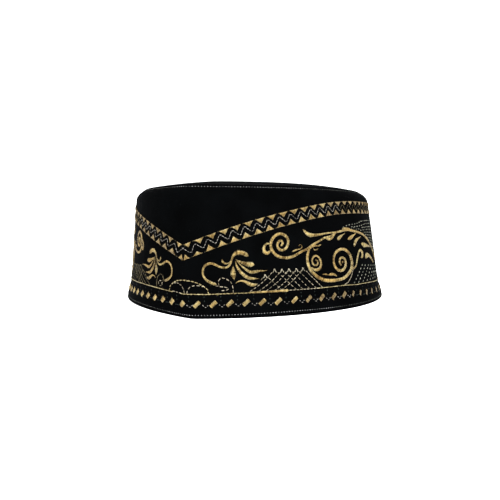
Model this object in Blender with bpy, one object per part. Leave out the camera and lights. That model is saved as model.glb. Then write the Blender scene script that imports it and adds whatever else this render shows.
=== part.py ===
"""A songkok: a brimless oval velvet cap, made of a creased side band and a domed crown.

Metres, +Z up. The cap rests on its hem. The front crease points to -Y and the back seam to +Y,
and the origin is on the floor, under the middle of the cap.
"""
import math

import bpy
import bmesh
from mathutils import Vector

# Driving dimensions, in metres and radians
HALF_GIRTH = 0.290        # hem length from the front crease round one side to the back seam
CREASE_TURN = 0.32        # how far each side of a crease turns away from a flat front
CREASE_ROUND = 0.0013     # length along the hem in which a crease makes most of its turn
SIDE_FLATNESS = 0.08      # turn taken from the sides and given to the quarters, for a longer oval
SEAM_HEIGHT = 0.0695      # height of the seam between the band and the crown
SHOULDER_START = 0.063    # height where the straight wall begins to round inwards
SHOULDER_DEPTH = 0.007    # how far the shoulder comes in by the seam
SIDE_TAPER = 1.8          # share of the width lost for each metre of height
FRONT_FLARE = 0.5         # share of the length gained for each metre of height
HEM_SWELL = 0.0006        # how far the folded hem stands out from the wall
HEM_SWELL_HEIGHT = 0.0045
HEM_SWELL_REACH = 0.0032
WALL = 0.0024             # velvet and its stiffening
HEM_ROUND = 0.0008        # rounding of the hem's two lower edges
CROWN_RISE = 0.0055       # how far the middle of the crown stands above the seam
CROWN_FLATNESS = 2.8      # power of the dome: a higher one is flatter in the middle
CROWN_THICKNESS = 0.0020
SEAM_GAP = 0.0003         # between the band's upper edge and the crown's edge

# Divisions
COLUMNS_EACH_SIDE = 48
COLUMN_CROWDING = 0.6     # 0 spaces the columns evenly, more draws them towards the creases
PATH_STEPS = 2000
WALL_HEIGHTS = 5
SHOULDER_HEIGHTS = 5
HEM_ARC_STEPS = 2
CROWN_RINGS = 8
CROWN_HOLLOW_RINGS = 5
SMOOTH_ANGLE = math.radians(35)

BLACK_VELVET = (0.0045, 0.0050, 0.0062, 1.0)
VELVET_ROUGHNESS = 0.9


def hem_heading(distance):
    """Direction of the hem at a distance from the front crease: 0 faces +X, pi faces -X."""
    even_turn = (math.pi - 2 * CREASE_TURN) / HALF_GIRTH * distance
    front_crease = CREASE_TURN * math.tanh(distance / CREASE_ROUND)
    back_crease = CREASE_TURN * (1 - math.tanh((HALF_GIRTH - distance) / CREASE_ROUND))
    oval = -SIDE_FLATNESS * math.sin(2 * math.pi * distance / HALF_GIRTH)
    return front_crease + even_turn + back_crease + oval


def hem_side(distances):
    """Points of the hem at these distances along the +X side, centred front to back."""
    step = HALF_GIRTH / PATH_STEPS
    path = [(0.0, 0.0)]
    for i in range(PATH_STEPS):
        heading = hem_heading((i + 0.5) * step)
        x, y = path[-1]
        path.append((x + step * math.cos(heading), y + step * math.sin(heading)))
    middle = path[-1][1] / 2
    across = path[-1][0]
    points = []
    for distance in distances:
        place = distance / step
        i = min(int(place), PATH_STEPS - 1)
        part = place - i
        x = path[i][0] * (1 - part) + path[i + 1][0] * part
        y = path[i][1] * (1 - part) + path[i + 1][1] * part
        # The last column is drawn onto the middle plane, so the two sides meet
        x -= across * distance / HALF_GIRTH
        points.append((x, y - middle))
    return points


def hem_outline():
    """The whole hem, counter-clockwise from above, starting at the front crease."""
    distances = []
    for i in range(COLUMNS_EACH_SIDE + 1):
        t = i / COLUMNS_EACH_SIDE
        crowded = t - COLUMN_CROWDING * math.sin(2 * math.pi * t) / (2 * math.pi)
        distances.append(HALF_GIRTH * crowded)
    right = hem_side(distances)
    left = [(-x, y) for x, y in reversed(right[1:-1])]
    return right + left


OUTLINE = hem_outline()
HALF_WIDTH = max(x for x, y in OUTLINE)
HALF_LENGTH = max(y for x, y in OUTLINE)


def shoulder_inset(height):
    """How far the wall has come in at a height, in the rounded shoulder."""
    t = max(0.0, (height - SHOULDER_START) / (SEAM_HEIGHT - SHOULDER_START))
    return SHOULDER_DEPTH * t * t


def hem_swell(height):
    """How far the folded hem stands out at a height."""
    t = (height - HEM_SWELL_HEIGHT) / HEM_SWELL_REACH
    return HEM_SWELL * math.exp(-t * t)


def outline_at(height, inset=0.0):
    """The band's outer outline at a height, moved inwards by an inset measured level."""
    across = 1 - SIDE_TAPER * height - shoulder_inset(height) / HALF_WIDTH
    along = 1 + FRONT_FLARE * height - shoulder_inset(height) / HALF_LENGTH
    scaled = [Vector((x * across, y * along, 0)) for x, y in OUTLINE]
    ring = []
    for i, point in enumerate(scaled):
        before = scaled[i - 1]
        after = scaled[(i + 1) % len(scaled)]
        back = (point - before).normalized()
        ahead = (after - point).normalized()
        tangent = (back + ahead).normalized()
        outward = Vector((tangent.y, -tangent.x, 0))
        mitre = 1 / max(tangent.dot(ahead), 0.5)
        moved = point + outward * (hem_swell(height) - inset) * mitre
        ring.append(Vector((moved.x, moved.y, height)))
    return ring


def wall_slope(height):
    """Level distance that the outer wall comes in for each metre it rises."""
    t = max(0.0, (height - SHOULDER_START) / (SEAM_HEIGHT - SHOULDER_START))
    return 2 * SHOULDER_DEPTH * t / (SEAM_HEIGHT - SHOULDER_START)


def inner_ring(height):
    """The inner face opposite the outer ring of a height, one wall thickness in from it."""
    lean = math.atan(wall_slope(height))
    drop = WALL * math.sin(lean)
    level = WALL * math.cos(lean)
    ring = outline_at(height, level)
    return [Vector((p.x, p.y, p.z - drop)) for p in ring]


def heights_between(low, high, count):
    """Evenly spaced heights from low to high, both ends among them."""
    return [low + (high - low) * i / (count - 1) for i in range(count)]


def loft(bm, rings, closed):
    """Skins the rings in turn, and joins the last to the first where the section is closed."""
    loops = [[bm.verts.new(p) for p in ring] for ring in rings]
    pairs = list(zip(loops, loops[1:]))
    if closed:
        pairs.append((loops[-1], loops[0]))
    for low, high in pairs:
        for i in range(len(low)):
            j = (i + 1) % len(low)
            bm.faces.new((low[i], low[j], high[j], high[i]))
    return loops


def finish(bm, name, material):
    """Turns the faces out and makes the object, shaded smooth."""
    bmesh.ops.triangulate(bm, faces=bm.faces)
    bmesh.ops.recalc_face_normals(bm, faces=bm.faces)
    mesh = bpy.data.meshes.new(name)
    bm.to_mesh(mesh)
    bm.free()
    mesh.materials.append(material)
    mesh.shade_smooth()
    mesh.set_sharp_from_angle(angle=SMOOTH_ANGLE)
    piece = bpy.data.objects.new(name, mesh)
    bpy.context.scene.collection.objects.link(piece)
    return piece


def velvet(name):
    """Plain black velvet."""
    material = bpy.data.materials.new(name)
    material.use_nodes = True
    shader = material.node_tree.nodes["Principled BSDF"]
    shader.inputs["Base Color"].default_value = BLACK_VELVET
    shader.inputs["Roughness"].default_value = VELVET_ROUGHNESS
    shader.inputs["Metallic"].default_value = 0.0
    return material


def hem_corner(inner):
    """Rings round one lower edge of the hem, from its flat underside up to its wall."""
    rings = []
    for i in range(HEM_ARC_STEPS + 1):
        angle = math.pi / 2 * i / HEM_ARC_STEPS
        sunk = HEM_ROUND * (1 - math.sin(angle))
        height = HEM_ROUND * (1 - math.cos(angle))
        inset = WALL - sunk if inner else sunk
        rings.append(outline_at(height, inset))
    return rings


def make_side_band():
    """The strip: hem, straight wall, shoulder, the edge at the seam, and the inner face."""
    straight = heights_between(HEM_ROUND, SHOULDER_START, WALL_HEIGHTS)
    hem_bulge = heights_between(HEM_ROUND, 2 * HEM_SWELL_HEIGHT, HEM_ARC_STEPS + 2)
    shoulder = heights_between(SHOULDER_START, SEAM_HEIGHT, SHOULDER_HEIGHTS)
    outer_heights = hem_bulge[1:] + straight[1:] + shoulder[1:]
    outer = hem_corner(inner=False) + [outline_at(h) for h in outer_heights]
    inner_heights = straight[1:] + shoulder[1:]
    inner = hem_corner(inner=True) + [inner_ring(h) for h in inner_heights]
    bm = bmesh.new()
    loft(bm, outer + inner[::-1], closed=True)
    return finish(bm, "side_band", velvet("side_band_velvet"))


def crown_ring(edge, share, lowered):
    """A ring of the dome: the crown's edge drawn in to a share of its size, and lowered."""
    rise = CROWN_RISE * (1 - share ** CROWN_FLATNESS)
    return [Vector((p.x * share, p.y * share, p.z + rise - lowered)) for p in edge]


def close_pole(bm, loop, height):
    """Fans a loop to one point on the middle line."""
    pole = bm.verts.new((0, 0, height))
    for i in range(len(loop)):
        bm.faces.new((loop[i], loop[(i + 1) % len(loop)], pole))


def crown_shares(count):
    """Ring sizes from the edge inwards, closer together near the edge."""
    return [1 - (i / count) ** 1.3 for i in range(count)]


def make_crown():
    """The domed oval panel, whose edge stands off the band's edge by the seam gap."""
    lean = math.atan(wall_slope(SEAM_HEIGHT))
    upper_edge = outline_at(SEAM_HEIGHT, SEAM_GAP * math.sin(lean))
    upper_edge = [Vector((p.x, p.y, p.z + SEAM_GAP * math.cos(lean))) for p in upper_edge]
    in_step = CROWN_THICKNESS * math.cos(lean) + SEAM_GAP * math.sin(lean)
    lower_edge = outline_at(SEAM_HEIGHT, in_step)
    fall = CROWN_THICKNESS * math.sin(lean)
    lower_edge = [Vector((p.x, p.y, p.z - fall + SEAM_GAP * math.cos(lean))) for p in lower_edge]
    top = [crown_ring(upper_edge, share, 0.0) for share in crown_shares(CROWN_RINGS)]
    under = [crown_ring(lower_edge, share, 0.0) for share in crown_shares(CROWN_HOLLOW_RINGS)]
    bm = bmesh.new()
    loops = loft(bm, under[::-1] + top, closed=False)
    under_pole = lower_edge[0].z + CROWN_RISE
    top_pole = upper_edge[0].z + CROWN_RISE
    close_pole(bm, loops[0], under_pole)
    close_pole(bm, loops[-1], top_pole)
    return finish(bm, "crown", velvet("crown_velvet"))


def clear_scene():
    """Removes whatever the file opened with."""
    for thing in list(bpy.data.objects):
        bpy.data.objects.remove(thing, do_unlink=True)


clear_scene()
make_side_band()
make_crown()
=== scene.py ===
"""A songkok's looks: black velvet, satin-stitched gold scrolls and running stitches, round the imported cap.

Metres, +Z up, front crease towards -Y. A place on the band is given by u, the distance along the hem
from the front crease (negative on the left), and z, the height. The charts below are in millimetres.
"""
import math

import bmesh
import bpy
import numpy as np
from mathutils import Matrix, Vector


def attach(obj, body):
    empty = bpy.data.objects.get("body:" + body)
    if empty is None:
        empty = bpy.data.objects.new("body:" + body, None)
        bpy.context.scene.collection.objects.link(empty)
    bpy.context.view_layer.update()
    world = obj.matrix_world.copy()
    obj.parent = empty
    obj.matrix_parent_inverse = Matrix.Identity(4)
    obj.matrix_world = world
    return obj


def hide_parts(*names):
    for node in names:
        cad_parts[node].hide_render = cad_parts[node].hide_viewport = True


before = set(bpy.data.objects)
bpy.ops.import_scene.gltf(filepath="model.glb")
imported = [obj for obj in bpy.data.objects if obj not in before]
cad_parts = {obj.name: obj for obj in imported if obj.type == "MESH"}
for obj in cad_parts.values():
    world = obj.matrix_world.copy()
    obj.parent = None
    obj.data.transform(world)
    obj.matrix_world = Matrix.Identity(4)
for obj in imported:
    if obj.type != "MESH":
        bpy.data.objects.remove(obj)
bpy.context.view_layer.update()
MM = 0.001

# The cap's form: its solids' sizes, but for the shoulder, which is a little squarer in velvet
HALF_GIRTH = 0.290
CREASE_TURN = 0.32
CREASE_ROUND = 0.0013
SIDE_FLATNESS = 0.08
SEAM_HEIGHT = 0.0695
SHOULDER_START = 0.063
SHOULDER_DEPTH = 0.0054
SIDE_TAPER = 1.8
FRONT_FLARE = 0.5
HEM_SWELL = 0.0006
HEM_SWELL_HEIGHT = 0.0045
HEM_SWELL_REACH = 0.0032
WALL = 0.0024
CROWN_RISE = 0.0055
CROWN_FLATNESS = 2.8
CROWN_THICKNESS = 0.0020

# What the soft cloth adds to that form
HEM_FLARE = 0.0013        # how much further than its solid the hem turns out at the table
HEM_FLARE_REACH = 0.005
CREASE_LEAN = 0.0042      # how far the front crease leans to the right at the table
CREASE_LEAN_TOP = 0.013   # the height where it stands straight again
CREASE_LEAN_FADE = 6      # a higher power keeps the lean nearer the crease
HAND_WAVE = 0.00022       # unevenness of a wall that is stiffened by hand
HAND_WAVE_FADE = 0.02     # it dies out over this height at the hem and at the crown seam
# Its waves: share, number round the cap, turn with height, and start
HAND_WAVES = ((0.5, 3, 40, 0.7), (0.3, 7, -90, 0.0), (0.2, 12, 0, 2.1))
HEM_ROLL = 0.0011         # radius of the turned-under hem
INNER_HEM_ROLL = 0.9 * HEM_ROLL
SEAM_ROLL = 0.0008        # radius of the two edges that meet in the crown seam
STITCH_GROOVE_DEPTH = 0.00022
STITCH_GROOVE_REACH = 0.0006
BACK_SEAM_DEPTH = 0.0007
BACK_SEAM_REACH = 0.0009
BACK_SEAM_AT_HEM = 0.6    # share of that depth in the rolled hem
CROWN_EDGE_INSET = 0.00005
CROWN_UNDER_INSET = 0.0009
CROWN_UNDER_DROP = 0.9 * CROWN_THICKNESS

# Rows of plain stitching along the two edges, where they pull the velvet in
HEM_ROW_HEIGHT = 2.2 * MM
TOP_ROW_HEIGHT = 68.4 * MM

# Fineness of the velvet's surface
HEM_STEPS = 4000
BAND_COLUMNS = 290        # on each side
BAND_COLUMN_CROWDING = 0.5
ROLL_RINGS = 6
INNER_ROLL_RINGS = 5
LOW_RINGS = 12            # close together past the stitch row at the hem
LOW_RINGS_TOP = 4 * MM
WALL_RINGS = 44
SHOULDER_RINGS = 22
INNER_SHOULDER_RINGS = 8
INNER_WALL_RINGS = 14
CROWN_RINGS = 40
CROWN_RING_CROWDING = 1.4

# The light: the glow of the table and backdrop, the air all round, and two softboxes
TABLE_GLOW = 0.75
AIR_LIGHT = 0.20
KEY_LIGHT = {"place": (0.42, -0.78, 0.86), "size": 0.40, "power": 60.0}
SIDE_LIGHT = {"place": (-0.75, -0.65, 0.55), "size": 0.5, "power": 1.3}
LIGHT_AIM = (0, 0, 0.04)
SWEEP_HALF_WIDTH = 3.0
SWEEP_NEAR_EDGE = -3.0
SWEEP_RADIUS = 0.9        # of the curve from the floor to the backdrop, which starts as far behind the cap
SWEEP_TOP = 2.6
SWEEP_STEPS = 12

# The camera, in metres and radians
CAMERA_DISTANCE = 0.3665
CAMERA_TURN = 0.3573
CAMERA_HEIGHT = 0.0531
CAMERA_YAW = 0.0122
CAMERA_PITCH = 0.0650
CAMERA_ROLL = 0.0012
CAMERA_LENS = 37.47
SENSOR_WIDTH = 36.0


# The cap's form

def hem_path():
    """Distances along one side of the hem, front crease to back seam, with the hem's x and y there."""
    d = np.linspace(0, HALF_GIRTH, HEM_STEPS + 1)
    heading = (CREASE_TURN * np.tanh(d / CREASE_ROUND)
               + (math.pi - 2 * CREASE_TURN) / HALF_GIRTH * d
               + CREASE_TURN * (1 - np.tanh((HALF_GIRTH - d) / CREASE_ROUND))
               - SIDE_FLATNESS * np.sin(2 * math.pi * d / HALF_GIRTH))
    step = d[1]
    x = np.concatenate([[0], np.cumsum((np.cos(heading[1:]) + np.cos(heading[:-1])) / 2 * step)])
    y = np.concatenate([[0], np.cumsum((np.sin(heading[1:]) + np.sin(heading[:-1])) / 2 * step)])
    x -= x[-1] * d / HALF_GIRTH
    return d, x, y - y[-1] / 2


HEM_D, HEM_X, HEM_Y = hem_path()
HALF_WIDTH = HEM_X.max()
HALF_LENGTH = HEM_Y.max()


def unit(v):
    """Vectors of length one."""
    return v / np.maximum(np.linalg.norm(v, axis=-1, keepdims=True), 1e-12)


def bare_wall(u, z):
    """Points of the wall before the hem's swell."""
    u = (u + HALF_GIRTH) % (2 * HALF_GIRTH) - HALF_GIRTH
    x = np.sign(u) * np.interp(np.abs(u), HEM_D, HEM_X)
    y = np.interp(np.abs(u), HEM_D, HEM_Y)
    rise = np.clip((z - SHOULDER_START) / (SEAM_HEIGHT - SHOULDER_START), 0, None)
    inset = SHOULDER_DEPTH * rise ** 2
    across = 1 - SIDE_TAPER * z - inset / HALF_WIDTH
    along = 1 + FRONT_FLARE * z - inset / HALF_LENGTH
    lean = CREASE_LEAN * np.clip(1 - z / CREASE_LEAN_TOP, 0, 1) ** 2
    lean = lean * np.clip(-y / HALF_LENGTH, 0, 1) ** CREASE_LEAN_FADE
    return np.stack([x * across + lean, y * along, z + 0 * x], -1)


def wall(u, z):
    """Points of the band's outer face, the way it faces there, and its level outward direction."""
    u, z = np.broadcast_arrays(np.asarray(u, float), np.asarray(z, float))
    du = 0.3 * MM
    dz = 0.1 * MM
    along = unit(bare_wall(u + du, z) - bare_wall(u - du, z))
    rising = unit(bare_wall(u, z + dz) - bare_wall(u, z - dz))
    facing = unit(np.cross(along, rising))
    level = unit(np.stack([along[..., 1], -along[..., 0], 0 * z], -1))
    swell = HEM_SWELL * np.exp(-((z - HEM_SWELL_HEIGHT) / HEM_SWELL_REACH) ** 2)
    swell = swell + HEM_FLARE * np.exp(-(z / HEM_FLARE_REACH) ** 2)
    return bare_wall(u, z) + level * swell[..., None], facing, level


def hand_wave(u, z):
    """The slight unevenness of the wall."""
    a = 2 * math.pi * u / (2 * HALF_GIRTH)
    wave = sum(share * np.sin(number * a + turn * z + start) for share, number, turn, start in HAND_WAVES)
    fade = np.clip(z / HAND_WAVE_FADE, 0, 1) * np.clip((SEAM_HEIGHT - z) / HAND_WAVE_FADE, 0, 1)
    return HAND_WAVE * wave * fade


def groove(z, row):
    """How deep a row of stitches pulls the velvet in."""
    return STITCH_GROOVE_DEPTH * np.exp(-((z - row) / STITCH_GROOVE_REACH) ** 2)


def back_seam(u):
    """How deep the joint of the strip's two ends lies at the back."""
    away = HALF_GIRTH - np.abs(u)
    return BACK_SEAM_DEPTH * np.exp(-(away / BACK_SEAM_REACH) ** 2)


def cloth(u, z):
    """Points of the band's velvet, where threads lie, and the way it faces there."""
    place, facing, _ = wall(u, z)
    lift = hand_wave(u, z) - back_seam(u)
    return place + facing * lift[..., None], facing


# Velvet pieces

def add_piece(name, mesh):
    """A mesh object at the origin that moves with the cap."""
    piece = bpy.data.objects.new(name, mesh)
    bpy.context.scene.collection.objects.link(piece)
    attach(piece, "root")
    return piece


def column_places():
    """Places round the hem, closer together near the two creases."""
    t = np.arange(BAND_COLUMNS) / BAND_COLUMNS
    d = HALF_GIRTH * (t - BAND_COLUMN_CROWDING * np.sin(2 * math.pi * t) / (2 * math.pi))
    return np.concatenate([d, d - HALF_GIRTH])


def ring_mesh(name, rings, poles=(None, None), closed=False):
    """Skins rings of equal length, with an optional point that closes either end."""
    count = len(rings[0])
    verts = np.concatenate(rings)
    faces = []
    pairs = [(i, i + 1) for i in range(len(rings) - 1)]
    if closed:
        pairs.append((len(rings) - 1, 0))
    here = np.arange(count)
    beside = (here + 1) % count
    for low, high in pairs:
        low_row = low * count
        high_row = high * count
        corners = [low_row + here, low_row + beside, high_row + beside, high_row + here]
        faces += np.stack(corners, 1).tolist()
    for pole, ring, turned in ((poles[0], 0, True), (poles[1], len(rings) - 1, False)):
        if pole is None:
            continue
        tip = len(verts)
        verts = np.concatenate([verts, [pole]])
        for i in range(count):
            pair = (ring * count + i, ring * count + int(beside[i]))
            faces.append([pair[1], pair[0], tip] if turned else [pair[0], pair[1], tip])
    mesh = bpy.data.meshes.new(name)
    mesh.from_pydata(verts.tolist(), [], faces)
    mesh.validate()
    bm = bmesh.new()
    bm.from_mesh(mesh)
    bmesh.ops.recalc_face_normals(bm, faces=bm.faces)
    bm.to_mesh(mesh)
    bm.free()
    mesh.shade_smooth()
    return mesh


def coat(mesh, velvet, backing, is_hidden):
    """Velvet on the faces in sight, and its woven back on those that the test calls hidden."""
    mesh.materials.append(velvet)
    mesh.materials.append(backing)
    for face in mesh.polygons:
        face.material_index = 1 if is_hidden(face.vertices) else 0


def shoulder_lean(z):
    """Angle between the wall and the upright in the shoulder."""
    rise = max(0.0, (z - SHOULDER_START) / (SEAM_HEIGHT - SHOULDER_START))
    return math.atan(2 * SHOULDER_DEPTH * rise / (SEAM_HEIGHT - SHOULDER_START))


def roll_steps(radius, count):
    """Distances before an edge, and depths below the face, of a quarter roll that ends at the edge."""
    angles = np.linspace(0, math.pi / 2, count)
    return radius * (1 - np.sin(angles)), radius * (1 - np.cos(angles))


def make_velvet_band(velvet, backing):
    """The strip: rolled hem, wall, shoulder, rolled seam edge and the face inside."""
    u = column_places()
    count = len(u)
    rings = []

    def level_ring(z, inset):
        point, _, level = wall(u, z)
        rings.append(point - level * inset - level * back_seam(u)[:, None] * BACK_SEAM_AT_HEM)

    # Underside and outer roll of the hem
    before, depth = roll_steps(HEM_ROLL, ROLL_RINGS)
    for away, sunk in zip(depth[::-1], before[::-1]):
        level_ring(away, sunk)
    # Outer face, with closer rings at the stitch rows and in the shoulder
    lean = shoulder_lean(SEAM_HEIGHT)
    low = np.linspace(HEM_ROLL, LOW_RINGS_TOP, LOW_RINGS)
    middle = np.linspace(LOW_RINGS_TOP, SHOULDER_START, WALL_RINGS)
    high = np.linspace(SHOULDER_START, SEAM_HEIGHT - SEAM_ROLL * math.cos(lean), SHOULDER_RINGS)
    for z in np.concatenate([low[1:], middle[1:], high[1:]]):
        point, facing, _ = wall(u, z)
        lift = hand_wave(u, z) - back_seam(u) - groove(z, HEM_ROW_HEIGHT) - groove(z, TOP_ROW_HEIGHT)
        rings.append(point + facing * lift[:, None])
    # The roll into the crown seam
    before, depth = roll_steps(SEAM_ROLL, ROLL_RINGS)
    for away, sunk in zip(before[1:], depth[1:]):
        point, facing, _ = wall(u, SEAM_HEIGHT - away * math.cos(lean))
        rings.append(point - facing * sunk)
    # Down the face inside
    outside_count = len(rings)
    upper = np.linspace(SEAM_HEIGHT, SHOULDER_START, INNER_SHOULDER_RINGS)
    lower = np.linspace(SHOULDER_START, HEM_ROLL, INNER_WALL_RINGS)
    for z in np.concatenate([upper, lower[1:]]):
        lean = shoulder_lean(z)
        point, _, level = wall(u, z)
        ring = point - level * WALL * math.cos(lean)
        ring[:, 2] -= WALL * math.sin(lean)
        rings.append(ring)
    backing_end = len(rings) - 2
    before, depth = roll_steps(INNER_HEM_ROLL, INNER_ROLL_RINGS)
    for away, sunk in zip(depth[::-1][1:], before[::-1][1:]):
        level_ring(away, WALL - sunk)
    mesh = ring_mesh("velvet_band", rings, closed=True)
    coat(mesh, velvet, backing,
         lambda corners: outside_count <= min(v // count for v in corners) < backing_end)
    piece = add_piece("velvet_band", mesh)
    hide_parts("side_band")


def make_velvet_crown(velvet, backing):
    """The domed top: a rolled edge down in the seam, the dome and its underside."""
    u = column_places()
    count = len(u)
    edge, _, level = wall(u, SEAM_HEIGHT)
    under_edge = edge - level * CROWN_UNDER_INSET
    under_edge[:, 2] -= CROWN_UNDER_DROP
    rings = []

    def dome_ring(base, share, drop):
        rise = CROWN_RISE * (1 - share ** CROWN_FLATNESS)
        ring = base * [share, share, 1]
        ring[:, 2] = base[:, 2] + rise - drop
        rings.append(ring)

    shares = 1 - (np.arange(CROWN_RINGS) / CROWN_RINGS) ** CROWN_RING_CROWDING
    for share in shares[::-2]:
        dome_ring(under_edge, share, 0.0)
    under_count = len(rings)
    before, depth = roll_steps(SEAM_ROLL, ROLL_RINGS)
    for away, sunk in zip(before[::-1], depth[::-1]):
        dome_ring(edge, 1 - (away + CROWN_EDGE_INSET) / HALF_WIDTH, sunk)
    for share in shares[2:]:
        dome_ring(edge, share, 0.0)
    bottom = [0, 0, under_edge[0, 2] + CROWN_RISE]
    top = [0, 0, SEAM_HEIGHT + CROWN_RISE]
    bottom_tip = len(rings) * count
    mesh = ring_mesh("velvet_crown", rings, poles=(bottom, top))
    coat(mesh, velvet, backing,
         lambda corners: min(v // count for v in corners) < under_count - 1 or bottom_tip in corners)
    piece = add_piece("velvet_crown", mesh)
    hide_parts("crown")


# Thread: carriers that say where stitches lie, and the tree that lays them

RUNNING_RISE = 0.30        # how far a running stitch stands up, in millimetres
SATIN_SLANT = 0.12         # the threads of a satin bar lean this much off square
SATIN_DRAW_IN = 0.38       # they pull each charted bar narrower, in millimetres
SATIN_NARROWEST = 0.3
SATIN_END_FALL = 0.85      # how much the bar's round ends narrow
SATIN_RISE = 0.30          # how far a bar stands up, in millimetres, with more padding the wider it is
SATIN_PADDING = 0.26
SATIN_PADDED_TO = 3.0
LEFT_FLATNESS = 0.45       # on the left they lie flatter
LEFT_NARROWNESS = 0.88     # and the bars are narrower


class Carrier:
    """Paths on the band. Each point has its place, the way the cloth faces, the way a stitch lies,
    the stitch's length and how far it stands up."""

    def __init__(self):
        self.places = []
        self.facings = []
        self.lays = []
        self.spans = []
        self.rises = []
        self.edges = []

    def add(self, place, facing, lay, span, rise):
        """Adds one path, whose stitch lengths and rises are in millimetres."""
        start = len(self.places)
        self.places += place.tolist()
        self.facings += facing.tolist()
        self.lays += unit(lay).tolist()
        self.spans += np.broadcast_to(span * MM, len(place)).tolist()
        self.rises += np.broadcast_to(rise * MM, len(place)).tolist()
        self.edges += [(start + i, start + i + 1) for i in range(len(place) - 1)]

    def mesh(self, name):
        """The paths as edges, with their values as attributes of the points."""
        mesh = bpy.data.meshes.new(name)
        mesh.from_pydata(self.places, self.edges, [])
        for key, vectors in (("facing", self.facings), ("lay", self.lays)):
            field = mesh.attributes.new(key, "FLOAT_VECTOR", "POINT")
            field.data.foreach_set("vector", np.asarray(vectors, dtype=np.float32).ravel())
        for key, values in (("span", self.spans), ("rise", self.rises)):
            field = mesh.attributes.new(key, "FLOAT", "POINT")
            field.data.foreach_set("value", np.asarray(values, dtype=np.float32))
        return mesh


def smooth_path(points, step=0.35):
    """A smooth curve through charted rows, each with across, up and any further columns, in millimetres."""
    points = np.asarray(points, float)
    ghost = np.concatenate([[2 * points[0] - points[1]], points, [2 * points[-1] - points[-2]]])
    rows = []
    for i in range(1, len(ghost) - 2):
        a, b, c, d = ghost[i - 1:i + 3]
        count = max(2, int(np.linalg.norm((c - b)[:2]) / step))
        for t in np.arange(count) / count:
            rows.append(0.5 * (2 * b + (c - a) * t + (2 * a - 5 * b + 4 * c - d) * t ** 2
                               + (3 * b - a - 3 * c + d) * t ** 3))
    rows.append(points[-1])
    return np.array(rows)


def straight_path(points, step=0.5):
    """Points along a chain of straight runs, in millimetres."""
    rows = []
    for (u0, z0), (u1, z1) in zip(points, points[1:]):
        count = max(1, int(math.hypot(u1 - u0, z1 - z0) / step))
        rows += [(u0 + (u1 - u0) * i / count, z0 + (z1 - z0) * i / count) for i in range(count)]
    rows.append(points[-1])
    return np.array(rows, float)


def drifted(u, z, side):
    """Charted places as they lie on one side: the left one is sewn a little higher and nearer the front."""
    if side > 0:
        return u, z
    top = np.interp(u, LEFT_DRIFT_TOP_PLACES, LEFT_DRIFT_TOPS)
    up = np.interp(u, LEFT_DRIFT_PLACES, LEFT_DRIFT_UP) * np.clip((top - z) / LEFT_DRIFT_FADE, 0, 1)
    return -(u - np.interp(u, LEFT_DRIFT_PLACES, LEFT_DRIFT_FORWARD)), z + up


def on_band(rows, side):
    """Charted rows placed on one side of the band: points, facings and running directions."""
    u, z = drifted(rows[:, 0], rows[:, 1], side)
    place, facing = cloth(u * MM, z * MM)
    return place, facing, unit(np.gradient(place, axis=0))


def rounded_widths(rows):
    """The charted widths, drawn in to round ends."""
    lengths = np.concatenate([[0], np.cumsum(np.linalg.norm(np.diff(rows[:, :2], axis=0), axis=1))])
    wide = np.maximum(rows[:, 2] - SATIN_DRAW_IN, SATIN_NARROWEST)
    for run in (lengths, lengths[-1] - lengths):
        reach = np.clip(run / (0.5 * wide), 0, 1)
        wide = wide * np.sqrt(1 - (1 - reach) ** 2 * SATIN_END_FALL)
    return wide


def lay_satin(carrier, chart, side, slant=SATIN_SLANT):
    """A bar of satin stitch along a charted path: threads lie across it, leaning by the slant."""
    rows = smooth_path(chart)
    wide = rounded_widths(rows) * (1.0 if side > 0 else LEFT_NARROWNESS)
    place, facing, running = on_band(rows, side)
    across = unit(np.cross(facing, running))
    lay = across + running * math.tan(slant) * side
    rise = SATIN_RISE + SATIN_PADDING * np.minimum(wide, SATIN_PADDED_TO)
    carrier.add(place, facing, lay, wide, rise * (1.0 if side > 0 else LEFT_FLATNESS))


def lay_running(carrier, rows, side, dash, rise=RUNNING_RISE):
    """Running stitches along a path."""
    place, facing, running = on_band(rows, side)
    carrier.add(place, facing, running, dash, rise)


def thread_shape():
    """One stitch, one unit long, lying along X and arched up Z. It has few faces: thousands are laid."""
    stations = [(-0.5, 0.45), (-0.36, 0.85), (0.0, 1.0), (0.36, 0.85), (0.5, 0.45)]
    sides = 5
    arch = 0.62
    closeness = 1.96      # at 2 the arch would come right down to the cloth at the stitch's ends
    bm = bmesh.new()
    layer = bm.loops.layers.uv.new("UVMap")
    loops = []
    for x, size in stations:
        height = arch * math.sqrt(max(0.0, 1 - (closeness * x) ** 2))
        ring = []
        for k in range(sides):
            turn = 2 * math.pi * (k + 0.5) / sides
            y = 0.5 * size * math.cos(turn)
            z = height + (1 - arch) * size * math.sin(turn)
            ring.append(bm.verts.new((x, y, z)))
        loops.append(ring)
    for i in range(len(loops) - 1):
        for k in range(sides):
            j = (k + 1) % sides
            face = bm.faces.new((loops[i][k], loops[i + 1][k], loops[i + 1][j], loops[i][j]))
            corners = ((i, k), (i + 1, k), (i + 1, k + 1), (i, k + 1))
            for loop, (a, b) in zip(face.loops, corners):
                loop[layer].uv = (stations[a][0] + 0.5, b / sides)
    bm.faces.new(loops[0])
    bm.faces.new(loops[-1][::-1])
    bmesh.ops.recalc_face_normals(bm, faces=bm.faces)
    mesh = bpy.data.meshes.new("thread_shape")
    bm.to_mesh(mesh)
    bm.free()
    mesh.shade_smooth()
    shape = bpy.data.objects.new("thread_shape", mesh)
    bpy.context.scene.collection.objects.link(shape)
    return shape


# Added to a piece's seed, so that each of its random draws is its own
SALTS = {"lean": 5, "length": 11, "thickness": 12, "rise": 13, "tone": 21}


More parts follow.
